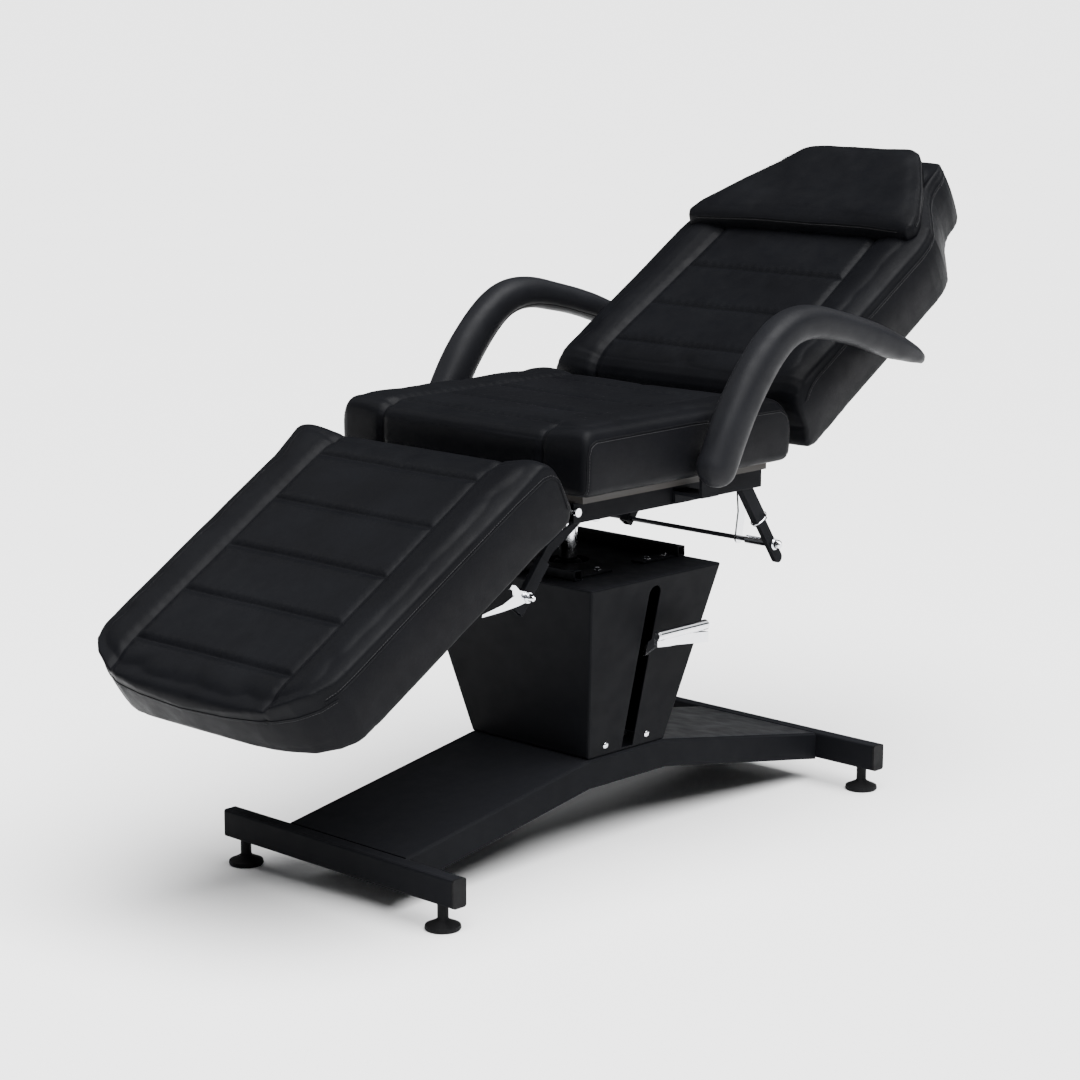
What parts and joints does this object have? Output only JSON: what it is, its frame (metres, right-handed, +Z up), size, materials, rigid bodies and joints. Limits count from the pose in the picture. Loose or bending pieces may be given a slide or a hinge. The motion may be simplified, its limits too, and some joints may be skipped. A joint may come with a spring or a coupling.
{
  "type": "treatment bed",
  "caption": "Padded facial treatment bed with tilting back and leg rests, head pillow and boomerang armrests on a pedal-pumped hydraulic column with an arched base.",
  "frame": {"origin": "on the floor directly under the hydraulic column", "axes": "+Y towards the head end, +Z up, +X towards the foot pedal's side"},
  "size_m": [0.758, 1.8547, 1.2122],
  "materials": {
    "black_powder_coat": "satin",
    "chrome": "polished",
    "black_vinyl": "satin grained",
    "black_rubber": "matte",
    "plywood": "matte",
    "cast_pump": "satin"
  },
  "bodies": {
    "base": {"base_plate": "black_powder_coat", "front_crossbar": "black_powder_coat", "rear_crossbar": "black_powder_coat", "front_crossbar_cap_near": "black_rubber", "front_crossbar_cap_far": "black_rubber", "rear_crossbar_cap_near": "black_rubber", "rear_crossbar_cap_far": "black_rubber", "pedestal_cover": "black_powder_coat", "pump_body": "cast_pump", "stop_rail_front": "black_powder_coat", "stop_rail_rear": "black_powder_coat"},
    "seat": {"ram": "chrome", "ram_head": "black_powder_coat", "seat_rail_near": "black_powder_coat", "seat_rail_far": "black_powder_coat", "seat_cross_tube_front": "black_powder_coat", "seat_cross_tube_rear": "black_powder_coat", "seat_board": "plywood", "seat_cushion": "black_vinyl", "back_hinge_ear_near": "black_powder_coat", "back_hinge_ear_far": "black_powder_coat", "back_hinge_pin_near": "chrome", "back_hinge_pin_far": "chrome", "leg_hinge_bolt_near": "chrome", "leg_hinge_bolt_far": "chrome", "armrest_bracket_near": "black_powder_coat", "armrest_bracket_far": "black_powder_coat", "hanger_sleeve_near": "black_powder_coat", "hanger_tongue_near": "black_powder_coat", "hanger_far": "black_powder_coat", "cross_rod": "chrome", "front_strap_near": "black_powder_coat", "front_strap_far": "black_powder_coat", "front_sleeve": "black_powder_coat", "front_bolt": "chrome"},
    "backrest": {"back_board": "plywood", "back_cushion": "black_vinyl", "back_tube_near": "black_powder_coat", "back_tube_far": "black_powder_coat", "back_cross_tube": "black_powder_coat", "back_knuckle_near": "black_powder_coat", "back_knuckle_far": "black_powder_coat", "strut_pin": "chrome"},
    "legrest": {"leg_board": "plywood", "leg_cushion": "black_vinyl", "leg_cross_tube": "black_powder_coat", "leg_plate_near": "black_powder_coat", "leg_plate_far": "black_powder_coat"},
    "pillow": {"head_pillow": "black_vinyl"},
    "armrest_left": {"armrest_far": "black_vinyl"},
    "armrest_right": {"armrest_near": "black_vinyl"},
    "pedal_lever": {"pedal": "chrome"},
    "strut_outer": {"strut_tube": "black_powder_coat"},
    "strut_inner": {"strut_rod": "chrome"},
    "front_release": {"release_lever": "chrome"},
    "rear_release": {"rear_lever": "chrome"},
    "front_foot_near_body": {"front_foot_near": "black_rubber"},
    "front_foot_far_body": {"front_foot_far": "black_rubber"},
    "rear_foot_near_body": {"rear_foot_near": "black_rubber"},
    "rear_foot_far_body": {"rear_foot_far": "black_rubber"}
  },
  "joints": [
    {"name": "lift", "type": "slide", "parent": "base", "child": "seat", "axis": [0, 0, 1], "range_m": [-0.02, 0.16]},
    {"name": "backrest_tilt", "type": "hinge", "parent": "seat", "child": "backrest", "pos_m": [0, 0.3106, 0.712], "axis": [1, 0, 0], "range_deg": [-32, 24]},
    {"name": "legrest_tilt", "type": "hinge", "parent": "seat", "child": "legrest", "pos_m": [0, -0.242, 0.655], "axis": [1, 0, 0], "range_deg": [-32, 6]},
    {"name": "strut_outer_pivot", "type": "hinge", "parent": "seat", "child": "strut_outer", "pos_m": [-0.122, 0.297, 0.5214], "axis": [1, 0, 0], "range_deg": [-16, 12]},
    {"name": "strut_inner_pivot", "type": "hinge", "parent": "backrest", "child": "strut_inner", "pos_m": [-0.122, 0.4922, 0.77147], "axis": [1, 0, 0], "range_deg": [-12, 16]},
    {"name": "pillow_lift_off", "type": "slide", "parent": "backrest", "child": "pillow", "axis": [0, -0.5299, 0.848], "range_m": [0, 0.15]},
    {"name": "armrest_right_swing", "type": "hinge", "parent": "seat", "child": "armrest_right", "pos_m": [0.348, 0.026, 0.712], "axis": [1, 0, 0], "range_deg": [0, 75]},
    {"name": "armrest_left_swing", "type": "hinge", "parent": "seat", "child": "armrest_left", "pos_m": [-0.348, 0.026, 0.712], "axis": [1, 0, 0], "range_deg": [0, 75]},
    {"name": "pedal_pump", "type": "hinge", "parent": "base", "child": "pedal_lever", "pos_m": [0.056, 0, 0.36], "axis": [0, 1, 0], "range_deg": [0, 18], "stiffness_Nm_per_rad": 8, "springref_deg": -17.19},
    {"name": "front_release_squeeze", "type": "hinge", "parent": "seat", "child": "front_release", "pos_m": [0.235, -0.3552, 0.5256], "axis": [1, 0, 0], "range_deg": [-12, 0], "stiffness_Nm_per_rad": 0.4, "springref_deg": 17.19},
    {"name": "rear_release_squeeze", "type": "hinge", "parent": "seat", "child": "rear_release", "pos_m": [0.155, 0.297, 0.5214], "axis": [1, 0, 0], "range_deg": [0, 15], "stiffness_Nm_per_rad": 0.4, "springref_deg": -17.19},
    {"name": "front_foot_near_screw", "type": "slide", "parent": "base", "child": "front_foot_near_body", "axis": [0, 0, 1], "range_m": [-0.012, 0]},
    {"name": "front_foot_far_screw", "type": "slide", "parent": "base", "child": "front_foot_far_body", "axis": [0, 0, 1], "range_m": [-0.012, 0]},
    {"name": "rear_foot_near_screw", "type": "slide", "parent": "base", "child": "rear_foot_near_body", "axis": [0, 0, 1], "range_m": [-0.012, 0]},
    {"name": "rear_foot_far_screw", "type": "slide", "parent": "base", "child": "rear_foot_far_body", "axis": [0, 0, 1], "range_m": [-0.012, 0]}
  ],
  "couplings": [
    {"joint": "strut_outer_pivot", "follows": "backrest_tilt", "ratio": 0.5},
    {"joint": "strut_inner_pivot", "follows": "backrest_tilt", "ratio": -0.5}
  ]
}
